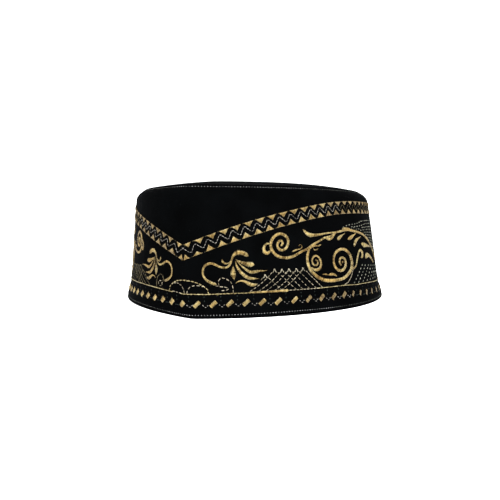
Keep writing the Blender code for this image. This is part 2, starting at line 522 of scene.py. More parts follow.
def stitching_tree():
    """Lays a stitch at every pitch along each path, turned and sized by the path's own values."""
    tree = bpy.data.node_groups.new("lay_stitches", "GeometryNodeTree")
    nodes = tree.nodes
    links = tree.links
    inputs = {"Geometry": "Geometry", "Stitch Pitch": "Float", "Thread Thickness": "Float",
              "Unevenness": "Float", "Seed": "Int", "Thread": "Object", "Thread Material": "Material"}
    for name, kind in inputs.items():
        tree.interface.new_socket(name, in_out="INPUT", socket_type="NodeSocket" + kind)
    tree.interface.new_socket("Geometry", in_out="OUTPUT", socket_type="NodeSocketGeometry")

    def node(kind, **settings):
        made = nodes.new(kind)
        for key, value in settings.items():
            setattr(made, key, value)
        return made

    def named(name, kind):
        made = node("GeometryNodeInputNamedAttribute", data_type=kind)
        made.inputs["Name"].default_value = name
        return made.outputs["Attribute"]

    def maths(operation, a, b):
        made = node("ShaderNodeMath", operation=operation)
        for slot, value in zip(made.inputs, (a, b)):
            if isinstance(value, (int, float)):
                slot.default_value = value
            else:
                links.new(value, slot)
        return made.outputs[0]

    def chance(kind, salt, low, high):
        made = node("FunctionNodeRandomValue", data_type=kind)
        first = 0 if kind == "FLOAT_VECTOR" else 2
        made.inputs[first].default_value = low
        made.inputs[first + 1].default_value = high
        links.new(maths("ADD", entry.outputs["Seed"], salt), made.inputs["Seed"])
        return made.outputs[0 if kind == "FLOAT_VECTOR" else 1]

    def uneven(value, salt):
        spread = maths("MULTIPLY", chance("FLOAT", salt, -1.0, 1.0), entry.outputs["Unevenness"])
        return maths("MULTIPLY", value, maths("ADD", spread, 1.0))

    entry = node("NodeGroupInput")
    curve = node("GeometryNodeMeshToCurve")
    links.new(entry.outputs["Geometry"], curve.inputs["Mesh"])
    spaced = node("GeometryNodeResampleCurve", mode="LENGTH")
    links.new(curve.outputs["Curve"], spaced.inputs["Curve"])
    links.new(entry.outputs["Stitch Pitch"], spaced.inputs["Length"])
    lean = node("ShaderNodeVectorMath", operation="SCALE")
    sway = chance("FLOAT_VECTOR", SALTS["lean"], (-0.5, -0.5, -0.5), (0.5, 0.5, 0.5))
    links.new(sway, lean.inputs[0])
    links.new(entry.outputs["Unevenness"], lean.inputs["Scale"])
    lay = node("ShaderNodeVectorMath", operation="ADD")
    links.new(named("lay", "FLOAT_VECTOR"), lay.inputs[0])
    links.new(lean.outputs[0], lay.inputs[1])
    turn = node("FunctionNodeAxesToRotation", primary_axis="Z", secondary_axis="X")
    links.new(named("facing", "FLOAT_VECTOR"), turn.inputs["Primary Axis"])
    links.new(lay.outputs[0], turn.inputs["Secondary Axis"])
    size = node("ShaderNodeCombineXYZ")
    links.new(uneven(named("span", "FLOAT"), SALTS["length"]), size.inputs[0])
    links.new(uneven(entry.outputs["Thread Thickness"], SALTS["thickness"]), size.inputs[1])
    links.new(uneven(named("rise", "FLOAT"), SALTS["rise"]), size.inputs[2])
    shape = node("GeometryNodeObjectInfo")
    shape.inputs["As Instance"].default_value = True
    links.new(entry.outputs["Thread"], shape.inputs["Object"])
    laid = node("GeometryNodeInstanceOnPoints")
    links.new(spaced.outputs["Curve"], laid.inputs["Points"])
    links.new(shape.outputs["Geometry"], laid.inputs["Instance"])
    links.new(turn.outputs["Rotation"], laid.inputs["Rotation"])
    links.new(size.outputs[0], laid.inputs["Scale"])
    tone = node("GeometryNodeStoreNamedAttribute", data_type="FLOAT", domain="INSTANCE")
    tone.inputs["Name"].default_value = "tone"
    links.new(laid.outputs["Instances"], tone.inputs["Geometry"])
    links.new(chance("FLOAT", SALTS["tone"], 0.0, 1.0), tone.inputs["Value"])
    real = node("GeometryNodeRealizeInstances")
    links.new(tone.outputs["Geometry"], real.inputs["Geometry"])
    coloured = node("GeometryNodeSetMaterial")
    links.new(real.outputs["Geometry"], coloured.inputs["Geometry"])
    links.new(entry.outputs["Thread Material"], coloured.inputs["Material"])
    links.new(coloured.outputs["Geometry"], node("NodeGroupOutput").inputs["Geometry"])
    return tree


def sew(name, carrier, tree, thread, material, slot, pitch, thickness, unevenness, seed):
    """Lays a carrier's stitches with the tree and keeps the result as one plain mesh."""
    helper = bpy.data.objects.new(name + "_paths", carrier.mesh(name + "_paths"))
    bpy.context.scene.collection.objects.link(helper)
    stitching = helper.modifiers.new("stitching", "NODES")
    stitching.node_group = tree
    values = {"Stitch Pitch": pitch * MM, "Thread Thickness": thickness * MM, "Unevenness": unevenness,
              "Seed": seed, "Thread": thread, "Thread Material": material}
    for item in tree.interface.items_tree:
        if item.item_type == "SOCKET" and item.in_out == "INPUT" and item.name in values:
            stitching[item.identifier] = values[item.name]
    bpy.context.view_layer.update()
    graph = bpy.context.evaluated_depsgraph_get()
    mesh = bpy.data.meshes.new_from_object(helper.evaluated_get(graph))
    mesh.name = name
    helper.modifiers.remove(stitching)
    bpy.data.objects.remove(helper)
    mesh.materials.clear()
    mesh.materials.append(material)
    piece = add_piece(name, mesh)


# Charts of the ornament on the right side, which the left side mirrors, all in millimetres

# The satin bars: across from the front crease, up from the table, and width of the bar
SATIN_CHARTS = {
    "flower_stem": [
        (17.0, 17.9, 1.7), (15.9, 18.1, 2.0), (13.8, 19.0, 2.0), (12.0, 20.1, 1.7), (10.6, 21.8, 1.5),
        (10.1, 23.6, 1.4), (10.3, 25.4, 1.5), (11.0, 27.0, 1.6), (12.4, 28.2, 1.7), (14.3, 28.8, 1.7),
        (16.3, 28.4, 1.7), (18.8, 27.2, 1.5), (21.3, 26.5, 1.5), (23.4, 26.8, 1.5), (25.0, 28.3, 1.5),
        (26.0, 30.6, 1.4), (26.8, 32.4, 1.8), (28.4, 33.9, 2.4), (30.9, 34.3, 2.7), (33.4, 33.5, 2.7),
        (34.9, 32.3, 2.0)],
    "flower_hook": [
        (20.8, 30.7, 1.2), (21.1, 29.5, 1.5), (22.5, 28.6, 1.3), (24.2, 28.9, 0.8), (25.1, 29.8, 0.5)],
    "flower_bud": [
        (26.6, 27.2, 0.4), (26.5, 26.0, 1.6), (26.4, 24.6, 2.8), (26.3, 23.2, 3.3), (26.4, 21.9, 2.6),
        (26.7, 20.3, 0.6)],
    "petal_top": [
        (28.4, 30.6, 0.5), (29.8, 29.8, 1.2), (31.3, 29.1, 1.9), (33.6, 28.4, 2.6), (35.6, 28.0, 3.1),
        (37.0, 27.9, 2.8), (38.0, 27.8, 1.2)],
    "petal_second": [
        (28.6, 30.0, 0.4), (30.9, 27.5, 1.0), (33.4, 25.4, 1.6), (35.5, 24.1, 2.1), (37.6, 24.0, 2.1),
        (40.1, 24.4, 1.7), (42.2, 24.5, 1.1), (44.9, 24.6, 0.4)],
    "petal_third": [
        (27.9, 29.8, 0.5), (28.6, 27.1, 1.5), (30.3, 24.2, 2.0), (32.6, 22.1, 2.2), (34.7, 20.9, 2.1),
        (37.2, 20.6, 1.6), (40.1, 20.4, 0.4)],
    "petal_low": [
        (27.4, 18.3, 0.5), (28.8, 19.2, 1.0), (30.9, 19.5, 1.4), (33.0, 18.8, 1.9), (35.1, 17.6, 2.3),
        (36.8, 17.2, 2.1), (38.8, 17.5, 1.0)],
    "ring_leaf": [
        (48.0, 38.6, 0.9), (46.4, 38.7, 1.3), (45.0, 37.8, 1.7), (44.1, 36.1, 2.1), (44.4, 34.5, 2.4),
        (45.8, 33.6, 2.3), (47.1, 34.3, 1.7), (48.3, 35.2, 1.1)],
    "spiral_stem": [
        (54.3, 37.4, 1.3), (55.6, 38.6, 1.7), (54.7, 40.2, 1.7), (52.9, 39.3, 1.7), (52.2, 37.3, 1.7),
        (53.4, 35.5, 1.8), (55.3, 35.1, 1.8), (57.2, 36.0, 1.9), (58.6, 37.9, 1.9), (59.1, 40.1, 2.0),
        (58.4, 41.9, 2.0), (56.7, 43.3, 2.0), (54.4, 43.8, 2.0), (51.8, 43.0, 2.0), (49.8, 41.3, 2.0),
        (48.6, 39.2, 2.0), (48.3, 37.1, 2.0), (49.0, 35.0, 2.0), (50.6, 32.9, 2.0), (52.9, 31.6, 2.0),
        (55.2, 31.1, 1.9), (58.3, 31.0, 1.9), (61.6, 31.7, 1.9), (64.9, 33.1, 1.8), (67.4, 34.2, 1.7),
        (69.9, 34.9, 1.6), (72.6, 35.9, 2.2), (75.3, 37.4, 2.0), (78.7, 38.9, 1.6), (82.0, 40.2, 1.5),
        (84.9, 41.2, 1.5), (88.3, 41.7, 1.4), (91.0, 42.4, 1.3), (94.0, 43.4, 1.2)],
    "sprig": [
        (61.0, 34.1, 0.9), (62.6, 34.7, 1.3), (64.5, 35.2, 1.0), (66.2, 35.4, 0.9), (67.4, 36.1, 0.8),
        (67.6, 37.1, 0.7), (66.8, 37.8, 0.7), (65.9, 37.5, 0.6), (65.7, 36.9, 0.5)],
    "branch": [
        (69.5, 45.9, 0.9), (70.6, 44.8, 1.8), (72.0, 43.6, 2.3), (74.1, 42.8, 2.6), (76.6, 42.7, 2.2),
        (80.3, 42.9, 1.7), (85.3, 43.5, 1.3), (89.5, 43.8, 1.3), (93.7, 43.9, 1.4), (98.0, 44.4, 1.6),
        (105.0, 45.1, 1.7), (110.0, 44.8, 1.7), (115.0, 44.1, 1.7), (120.0, 43.3, 1.6), (125.0, 42.2, 1.6),
        (130.0, 40.3, 1.6), (134.0, 38.2, 1.6), (137.0, 36.0, 1.6), (142.0, 32.3, 1.5), (146.0, 28.4, 1.3),
        (148.6, 25.0, 0.9)],
    "leaf_first": [
        (84.6, 41.3, 0.6), (86.6, 40.5, 1.6), (88.6, 40.3, 2.0), (90.8, 41.1, 1.6), (93.0, 42.6, 0.8)],
    "leaf_second": [
        (103.0, 43.2, 0.6), (100.8, 42.5, 0.9), (99.1, 41.8, 1.7), (97.4, 41.0, 2.5), (95.8, 40.3, 2.4),
        (94.9, 39.8, 1.1)],
    "leaf_third": [
        (105.5, 39.7, 1.2), (107.2, 40.2, 2.4), (109.6, 40.8, 2.4), (112.6, 41.8, 1.3), (115.5, 42.8, 0.7)],
    "leaf_fourth": [
        (111.6, 35.3, 1.2), (112.6, 37.0, 2.5), (115.0, 38.7, 2.3), (118.4, 39.8, 1.3), (122.0, 40.7, 0.7)],
    "leaf_fifth": [
        (122.0, 36.6, 1.2), (123.6, 36.0, 2.8), (126.0, 35.4, 3.2), (129.4, 35.0, 2.4), (133.0, 34.5, 1.6),
        (137.0, 33.8, 0.9)],
    "leaf_sixth": [
        (125.4, 27.4, 1.4), (126.2, 28.3, 3.0), (128.2, 29.0, 3.4), (131.4, 28.7, 2.4), (135.0, 27.2, 1.8),
        (138.2, 25.4, 1.3), (140.8, 23.6, 0.8)],
    "leaf_on_branch": [
        (100.5, 45.5, 0.8), (102.4, 46.1, 1.3), (104.9, 46.0, 1.4), (107.8, 45.8, 1.1), (110.0, 45.5, 0.6)],
    "great_scroll": [
        (72.6, 35.6, 1.6), (71.4, 33.5, 1.8), (70.5, 31.2, 2.0), (70.3, 28.3, 2.1), (70.9, 25.7, 2.2),
        (72.1, 23.3, 2.3), (74.2, 21.2, 2.3), (77.0, 19.3, 2.3), (80.3, 17.9, 2.4), (83.7, 17.2, 2.4),
        (87.4, 17.0, 2.3), (91.6, 17.1, 2.2), (95.2, 17.4, 2.1), (98.3, 18.3, 2.2), (101.2, 19.7, 2.3),
        (103.8, 21.3, 2.4), (105.6, 23.4, 2.5), (106.5, 25.9, 2.5), (106.2, 28.8, 2.4), (104.9, 31.2, 2.3),
        (102.8, 33.0, 2.2), (99.9, 34.1, 2.1), (97.0, 34.2, 2.0), (94.1, 33.5, 2.0), (91.6, 32.0, 1.9),
        (90.1, 29.9, 1.8), (89.6, 27.4, 1.8), (90.1, 25.0, 1.9), (91.6, 23.2, 2.0), (93.8, 22.2, 2.1),
        (96.2, 22.2, 2.2), (98.4, 23.3, 2.1), (99.9, 25.1, 2.0), (100.1, 27.2, 1.9), (99.1, 28.9, 1.8),
        (97.2, 29.5, 1.7), (95.4, 28.9, 1.7), (94.6, 27.2, 1.7), (95.0, 25.7, 1.4), (96.0, 25.2, 1.0)],
    "small_spiral": [
        (72.4, 25.1, 1.2), (74.4, 23.9, 1.9), (76.6, 23.7, 2.1), (78.6, 24.7, 1.8), (79.6, 26.7, 1.6),
        (79.3, 29.1, 1.5), (78.2, 30.6, 1.4), (76.6, 31.4, 1.4), (74.8, 30.9, 1.4), (73.6, 29.3, 1.4),
        (73.6, 27.5, 1.4), (74.8, 26.3, 1.4), (76.5, 26.3, 1.4), (77.4, 27.5, 1.3), (77.0, 28.8, 1.2),
        (76.0, 29.1, 1.0)],
    "small_sprig": [(74.6, 36.6, 1.3), (77.4, 36.8, 1.2), (79.4, 36.8, 1.1), (80.8, 37.4, 1.0)],
    "sprig_tick": [(75.0, 35.9, 0.7), (76.3, 34.6, 0.8), (78.4, 35.1, 0.7)],
    "low_leaf_near": [(79.8, 20.9, 0.7), (81.6, 20.9, 1.2), (83.6, 20.5, 1.2)],
    "low_leaf_far": [(84.2, 20.3, 0.9), (86.2, 20.6, 1.8), (88.4, 20.4, 1.7), (90.8, 19.2, 0.7)],
    "tendril": [
        (106.2, 22.4, 2.0), (107.6, 22.6, 1.8), (109.8, 23.2, 1.3), (111.5, 24.8, 1.3), (113.0, 27.3, 1.5),
        (115.0, 30.0, 1.5), (117.0, 32.0, 1.6), (119.2, 32.6, 1.9), (120.9, 31.2, 2.1), (120.9, 29.4, 2.0),
        (119.6, 28.2, 1.6), (118.6, 28.4, 0.9)],
    "thick_line": [
        (34.0, 13.3, 0.8), (37.0, 13.3, 1.3), (45.0, 13.4, 1.5), (52.5, 13.5, 1.6), (55.0, 13.5, 2.1),
        (56.3, 13.5, 1.9)],
}
PAINTED_SHADE_CHARTS = ("tendril", "leaf_fifth", "leaf_sixth")   # in darker gold as painted shade, like all on the left
RIGHT_ONLY_CHARTS = ("thick_line",)
SCROLL_HEART = [(96.6, 26.3, 0.8), (97.2, 26.8, 1.7), (97.8, 27.3, 0.9)]

# Running stitches: across and up
RUNNING_CHARTS = {
    "inner_arch": [(1.4, 13.7), (2.1, 15.5), (3.8, 16.8), (6.2, 17.3), (8.2, 17.1), (10.0, 16.8)],
    "loop": [
        (18.3, 17.9), (18.2, 19.1), (18.9, 20.4), (20.6, 21.1), (22.9, 20.3), (24.7, 19.0), (25.6, 16.8),
        (25.8, 14.0)],
    "loop_eye": [
        (17.4, 17.0), (19.4, 16.6), (21.3, 16.4), (23.3, 15.6), (22.2, 14.8), (20.4, 14.6)],
}
LEFT_LOOP_EYE = [
    (19.6, 16.0), (20.2, 17.0), (21.5, 17.4), (22.8, 17.0), (23.4, 16.0), (22.8, 15.0), (21.5, 14.6),
    (20.2, 15.0), (19.6, 16.0)]
LEFT_INNER_ARCH = [(0.2, 13.7), (0.8, 15.5), (2.2, 17.0), (4.8, 17.8), (7.5, 17.7), (10.0, 17.0)]
GREAT_ARCH = [(0.0, 20.0), (3.0, 19.6), (5.5, 19.1), (8.0, 18.1), (10.3, 16.8), (12.1, 15.2), (12.7, 13.3)]
THIN_CORD = [(106.4, 21.2), (104.5, 18.6), (103.0, 17.2), (101.5, 16.0), (100.0, 15.0), (98.0, 14.4)]
LINE_DASHES = [(58.0, 13.6), (75.5, 13.6)]
LEFT_LINE_DASHES = [(3.2, 12.9), (9.0, 13.1)]
LINE_RUNS = ((-290.0, -10.0), (-2.4, 56.0), (76.5, 290.0))   # where the gold line is whole

# The near net: each peak sends one leg towards the front and one away from it, down to the foot
NET_FOOT = 14.2
NEAR_NET_PEAKS = [(43.7, 22.5), (49.3, 25.3), (53.7, 25.1), (57.9, 25.2), (62.5, 25.1), (66.8, 25.3)]
FIRST_LEG_FOOT = 17.4
NET_LEG_START = 2.3       # how far below its peak each leg begins
LEG_FORWARD = (0.78, 0.042)   # across for each millimetre down, and what its square adds
LEG_BACK = (1.04, 0.0)
NET_CAP = ((-0.8, -1.5), (0.0, -0.1), (0.8, -1.5))   # the stitches that cap a peak, measured from it

# The far net: slanting rows of dots, one from each start
FAR_NET_STARTS = [
    (118.8, 23.7), (123.2, 23.2), (128.6, 22.9), (133.8, 22.4), (139.0, 22.0), (144.2, 21.6), (149.4, 21.2)]
FAR_NET_SLANT = 1.29      # across for each millimetre down

# Level and wavy rows of dots above the branch
DOTTED_ROWS = [
    [(102.3, 46.9), (108.2, 48.0), (114.3, 48.3), (121.5, 49.2), (126.0, 50.0), (136.0, 50.4),
     (147.0, 50.4)],
    [(112.0, 46.9), (118.0, 47.0), (124.8, 47.4), (129.0, 48.0), (137.0, 48.5), (147.0, 48.5)],
    [(111.0, 45.5), (114.5, 46.3), (117.0, 45.3), (120.0, 45.5), (124.0, 44.5)],
    [(127.0, 46.2), (137.0, 46.4), (147.0, 46.4)],
    [(128.0, 44.7), (137.0, 44.8), (147.0, 44.6)],
    [(129.5, 43.2), (138.0, 43.0), (147.0, 42.6)],
    [(132.0, 41.6), (139.0, 41.2), (147.0, 40.7)],
    [(135.0, 39.8), (141.0, 39.3), (147.5, 38.7)],
    [(137.5, 38.0), (143.0, 37.5), (148.0, 36.9)],
    [(140.5, 35.9), (145.0, 35.5), (149.0, 35.0)],
    [(143.5, 33.6), (150.0, 32.9)]]

# The two facing rows of triangles and the thread between them
BORDER_TOP = 58.5         # height of the border's middle line where it runs level
BORDER_DROP = 23.9        # how far it dips at the front
BORDER_LEVEL_FROM = 125.0
SLOPE_STEP = 0.1          # its slope is measured over this far each way
BORDER_RISE = {"middle": 92.0, "reach": 20.0, "height": 0.45}
BORDER_UPPER_HALF = 3.55  # how far the upper row's bases lie above the middle line
BORDER_LOWER_PLACES = [30, 55]    # and how far the lower row's lie below it, by place
BORDER_LOWER_HALVES = [4.05, 3.65]
BORDER_NUDGE_PLACES = [50, 75, 150, 260]   # the right side's repeats stand a little later than even
BORDER_NUDGES = [0.0, 0.75, 0.75, 0.0]
BORDER_PITCH = 6.85
UPPER_FIRST = 3.4
LOWER_FIRST = 6.65
TRIANGLE_HALF_BASE = 2.5
UPPER_HALF_BASE = {1: 2.75, -1: 2.5}
UPPER_EARLIER = {1: 0.35, -1: 0.0}
UPPER_HEIGHT = 2.6
LOWER_HEIGHT = 2.8
TRIANGLE_HOLLOW = 1.2     # above 1 the two slanting sides curve inwards
TRIANGLE_ROWS = 15        # charted rows in each, along which its threads are laid
TRIANGLE_SPREAD = 0.92    # share of the half base that they take up
TRIANGLE_END_THREAD = 0.12
TRIANGLE_RISE = 0.45
FRONT_UPPER = {"middle": 3.6, "half_base": 1.9, "height": 2.3}
FRONT_LOWER = {"middle": 0.4, "half_base": 1.6, "height": 2.6}
LEFT_LOWER_SHIFT = 1.3    # the lower row starts this much later on the left
LEFT_SHIFT_FADE = (50.0, 110.0)
FIRST_LOWER = {1: (1.15, 0.62), -1: (1.3, 1.0)}   # base and height of each side's first full lower triangle
FIRST_LEFT_UPPER = {"later": 0.7, "narrower": 0.85}
PAINTED_SHADE_TRIANGLES_FROM = {1: 88.0, -1: 5.0}   # past here on each side they are in darker gold as painted shade
SMALL_TRIANGLES_FROM = {1: 104.0, -1: 46.0}  # and past here they are smaller
SMALL_TRIANGLE_SHARE = 0.88
PEAK_FIRST = 7.1
VALLEY_FIRST = 3.65
ZIGZAG_HALF_HEIGHT = 1.5
ZIGZAG_BLUNTNESS = 0.45   # each corner is cut off this far before and after its turning point
ZIGZAG_START = 2.0        # how far above the middle line the thread starts at the front
BASE_THREAD_INSET = 0.1
BRIGHT_THREAD_TO = {1: 100.0, -1: 50.0}      # the zigzag is in a paler thread as far as here on each side, and past it in a darker one as painted shade

# The row of diamonds, in millimetres and degrees, counted both ways from the front
DIAMOND_RIGHT = {"first": 6.4, "pitch": 8.77, "count": 33}
DIAMOND_LEFT = {"first": -2.1, "pitch": -8.24, "count": 35}
DIAMOND_NUDGE_PLACES = [0, 40, 51, 60, 90, 104, 118, 128, 145]
DIAMOND_NUDGES = [-0.7, -0.7, -0.4, 0.6, 1.0, 0.5, -1.2, -2.0, 0.0]
# Squarer on the left, and smaller and flatter far on the right
DIAMOND_FORM_PLACES = [-0.1, 0.1, 60, 68, 95, 103]
DIAMOND_LENGTHS = [2.78, 3.85, 3.85, 4.0, 3.8, 2.9]
DIAMOND_WIDTHS = [2.63, 2.15, 2.15, 2.3, 2.4, 1.95]
DIAMOND_LEANS = [45, 36, 36, 37, 38, 48]
DIAMOND_RISES = [0.5, 0.5, 0.5, 0.4, 0.35, 0.25]
DIAMOND_ROWS = 9          # charted rows in each, along which its threads are laid
PAINTED_SHADE_DIAMONDS_FROM = 63.0  # past here they are in darker gold as painted shade

# The vees, ticks and stems between them, at their heights where the diamonds stand DIAMOND_LEVEL up
DIAMOND_LEVEL = 7.5
VEE_HALF_WIDTH = 1.2
VEE_TOP = 6.9
VEE_FOOT = 6.0
TICK = 6.6
STEM_FOOT = 9.2
STEM_TOP = 11.2
STEM_LEAN = 0.1
PALE_VEES_TO = 100.0      # from the front as far as here there are pale vees, and ticks elsewhere

# The rows are not quite level: their heights along the hem
ROW_PLACES = [-290, -90, -75, -60, -45, -30, -20, -10, 0, 11, 25, 36, 45, 60, 97, 108, 120, 145, 290]
LINE_HEIGHTS = [13.2, 13.2, 13.6, 14.0, 14.2, 14.0, 13.7, 13.2, 12.8, 12.6, 13.0, 13.1, 13.3, 13.6, 13.6,
                12.9, 12.7, 11.6, 13.2]
DIAMOND_HEIGHTS = [7.7, 7.8, 7.9, 8.3, 8.4, 8.2, 8.1, 7.9, 7.5, 7.4, 7.9, 8.1, 7.9, 8.2, 8.2, 8.0,
                   7.2, 6.5, 7.7]
HEM_ROW_HEIGHTS = [2.1, 2.1, 2.2, 2.4, 2.4, 2.3, 2.1, 2.0, 2.0, 2.0, 2.2, 2.3, 2.4, 2.5, 2.3, 2.2,
                   2.1, 2.1, 2.1]
TOP_ROW_HEIGHTS = [TOP_ROW_HEIGHT / MM] * len(ROW_PLACES)
BRIGHT_HEM = (-16.0, 85.0)    # the rows along the two edges are in a paler thread between these places, and elsewhere in a darker one as painted shade
BRIGHT_TOP = (-12.0, 75.0)

# How far the left side's work lies above and in front of the right side's
LEFT_DRIFT_PLACES = [0, 12, 20, 30, 38, 44, 52, 60, 80]
LEFT_DRIFT_UP = [0.1, 0.6, 0.7, 0.8, 0.9, 0.9, 0.8, 0.7, 0.0]
LEFT_DRIFT_FORWARD = [0.0, 0.7, 0.4, 1.3, 1.5, 0.2, 2.2, 2.5, 2.0]
LEFT_DRIFT_TOP_PLACES = [38, 48]
LEFT_DRIFT_TOPS = [35, 46]    # it lies no higher from here up
LEFT_DRIFT_FADE = 15.0        # and goes up in full from this far below


# The border of triangles

def border_middle(u):
    """Height of the border's middle line, which dips to a point at the front."""
    away = np.abs(u)
    gone = np.clip(1 - away / BORDER_LEVEL_FROM, 0, None)
    rise = BORDER_RISE["height"] * np.exp(-((away - BORDER_RISE["middle"]) / BORDER_RISE["reach"]) ** 2)
    return BORDER_TOP - BORDER_DROP * gone ** 2 + rise


def border_slope(u):
    """Slope of that line."""
    return (border_middle(u + SLOPE_STEP) - border_middle(u - SLOPE_STEP)) / (2 * SLOPE_STEP)


def border_point(u, off):
    """A place off the middle line, measured square to it."""
    slope = border_slope(u)
    size = np.hypot(1, slope)
    return u - off * slope / size, border_middle(u) + off / size


def lower_half(u):
    """How far the lower row's bases lie below the middle line."""
    return np.interp(u, BORDER_LOWER_PLACES, BORDER_LOWER_HALVES)


def border_nudge(u, side):
    """How much later the border's repeats stand on the right."""
    return np.interp(u, BORDER_NUDGE_PLACES, BORDER_NUDGES) if side > 0 else 0.0


def lower_shift(u, side):
    """How much later the lower row stands on the left, which wears off towards the back."""
    return np.interp(u, LEFT_SHIFT_FADE, (LEFT_LOWER_SHIFT, 0.0)) if side < 0 else 0.0


def lay_across(carrier, rows, square, side, length, rise):
    """Satin threads centred on rows of places, all lying the way that square points."""
    ahead = rows + square * 0.5
    place, facing = cloth(side * rows[:, 0] * MM, rows[:, 1] * MM)
    toward, _ = cloth(side * ahead[:, 0] * MM, ahead[:, 1] * MM)
    carrier.add(place, facing, toward - place, length, rise)


def lay_triangle(carrier, middle, toward, half_base, height, side):
    """A satin triangle that points up (toward 1) or down (-1), with its longest thread at its tip."""
    slope = border_slope(middle)
    along = np.array([1, slope]) / math.hypot(1, slope)
    square = np.array([-along[1], along[0]]) * toward
    half = lower_half(middle) if toward > 0 else BORDER_UPPER_HALF
    foot = np.array([middle, border_middle(middle)]) - square * half
    steps = np.linspace(-TRIANGLE_SPREAD, TRIANGLE_SPREAD, TRIANGLE_ROWS)
    length = height * (1 - np.abs(steps)) ** TRIANGLE_HOLLOW + TRIANGLE_END_THREAD
    rows = foot + np.outer(steps * half_base, along) + np.outer(length / 2, square)
    lay_across(carrier, rows, square, side, length, TRIANGLE_RISE)


def lay_triangles(near_carrier, painted_shade_carrier, side):
    """Both rows of triangles of one side, with smaller ones beside the front crease."""
    last = HALF_GIRTH / MM - TRIANGLE_HALF_BASE + 0.1

    def lay(place, toward, half_base, height):
        share = SMALL_TRIANGLE_SHARE if place > SMALL_TRIANGLES_FROM[side] else 1.0
        # Past a set place on each side the triangles go in darker gold as painted shade
        carrier = painted_shade_carrier if place > PAINTED_SHADE_TRIANGLES_FROM[side] else near_carrier
        lay_triangle(carrier, place, toward, share * half_base, share * height, side)

    for k, middle in enumerate(np.arange(UPPER_FIRST + BORDER_PITCH, last, BORDER_PITCH)):
        place = middle - UPPER_EARLIER[side] + border_nudge(middle, side)
        half_base = UPPER_HALF_BASE[side]
        if side < 0 and k == 0:
            place += FIRST_LEFT_UPPER["later"]
            half_base *= FIRST_LEFT_UPPER["narrower"]
        lay(place, -1, half_base, UPPER_HEIGHT)
    for k, middle in enumerate(np.arange(LOWER_FIRST, last, BORDER_PITCH)):
        wide, high = FIRST_LOWER[side] if k == 0 else (1.0, 1.0)
        place = middle + lower_shift(middle, side) + border_nudge(middle, side)
        lay(place, 1, wide * TRIANGLE_HALF_BASE, high * LOWER_HEIGHT)
    lay_triangle(near_carrier, side=side, toward=-1, **FRONT_UPPER)
    lay_triangle(near_carrier, side=side, toward=1, **FRONT_LOWER)


def base_thread_path(toward):
    """A thread along the bases of the lower row of triangles (toward 1) or of the upper row (-1)."""
    points = []
    for u in np.linspace(0.2, HALF_GIRTH / MM, 160):
        off = BASE_THREAD_INSET - lower_half(u) if toward > 0 else BORDER_UPPER_HALF - BASE_THREAD_INSET
        points.append(border_point(u, off))
    return straight_path(points)


def zigzag_path(side):
    """The thread between the triangles, with a blunt corner at each turning point."""
    points = [(0.0, border_middle(0.0) + ZIGZAG_START)]
    for k in range(int(HALF_GIRTH / MM / BORDER_PITCH)):
        valley = VALLEY_FIRST + k * BORDER_PITCH
        peak = PEAK_FIRST + k * BORDER_PITCH
        if k > 0:
            valley += lower_shift(valley, side) + border_nudge(valley, side)
            peak += border_nudge(peak, side)
        for place, off in ((valley, -ZIGZAG_HALF_HEIGHT), (peak, ZIGZAG_HALF_HEIGHT)):
            points += [border_point(place + shift, off) for shift in (-ZIGZAG_BLUNTNESS, ZIGZAG_BLUNTNESS)]
    return straight_path(points)


def lay_border_thread(bright, dim, rows, side, dash, rise):
    """Stitches along the border, in a darker thread away from the front as painted shade."""
    place, facing = cloth(side * rows[:, 0] * MM, rows[:, 1] * MM)
    running = unit(np.gradient(place, axis=0))
    change = int(np.searchsorted(rows[:, 0], BRIGHT_THREAD_TO[side]))
    for carrier, part in ((bright, slice(0, change + 1)), (dim, slice(change, None))):
        carrier.add(place[part], facing[part], running[part], dash, rise)


def lay_border(work, side):
    """One side's triangles, the zigzag thread between them and the threads along their bases."""
    lay_triangles(work["satin_triangles"], work["far_triangles"], side)
    lay_border_thread(work["zigzag_thread"], work["dim_zigzag_thread"], zigzag_path(side), side,
                      dash=1.3, rise=0.24)
    base = work["base_threads"]
    for toward in (1, -1):
        lay_border_thread(base, base, base_thread_path(toward), side, dash=1.0, rise=0.16)


# The scrolls, arches and nets

def lay_scrolls(work, side):
    """The satin bars of one side."""
    for name, chart in SATIN_CHARTS.items():
        if side > 0 or name not in RIGHT_ONLY_CHARTS:
            # The left side's bars, and a few far round the right, go in darker gold as painted shade
            in_painted_shade = side < 0 or name in PAINTED_SHADE_CHARTS
            lay_satin(work["deep_scrolls" if in_painted_shade else "satin_scrolls"], chart, side)
    lay_satin(work["scroll_hearts"], SCROLL_HEART, side, slant=0.0)


def lay_near_net(legs, peaks, side):
    """The two legs from each peak of the near net, and the pale stitches that cap it."""
    for k, (u, z) in enumerate(NEAR_NET_PEAKS):
        front_foot = FIRST_LEG_FOOT if k == 0 else NET_FOOT
        for toward, foot, (drift, curve) in ((-1, front_foot, LEG_FORWARD), (1, NET_FOOT, LEG_BACK)):
            drops = np.linspace(NET_LEG_START, z - foot, 5)
            leg = [(u + toward * (drift * drop + curve * drop ** 2), z - drop) for drop in drops]
            lay_running(legs, straight_path(leg), side, dash=1.6, rise=0.22)
        cap = [(u + across, z + up) for across, up in NET_CAP]
        lay_running(peaks, straight_path(cap), side, dash=0.9)


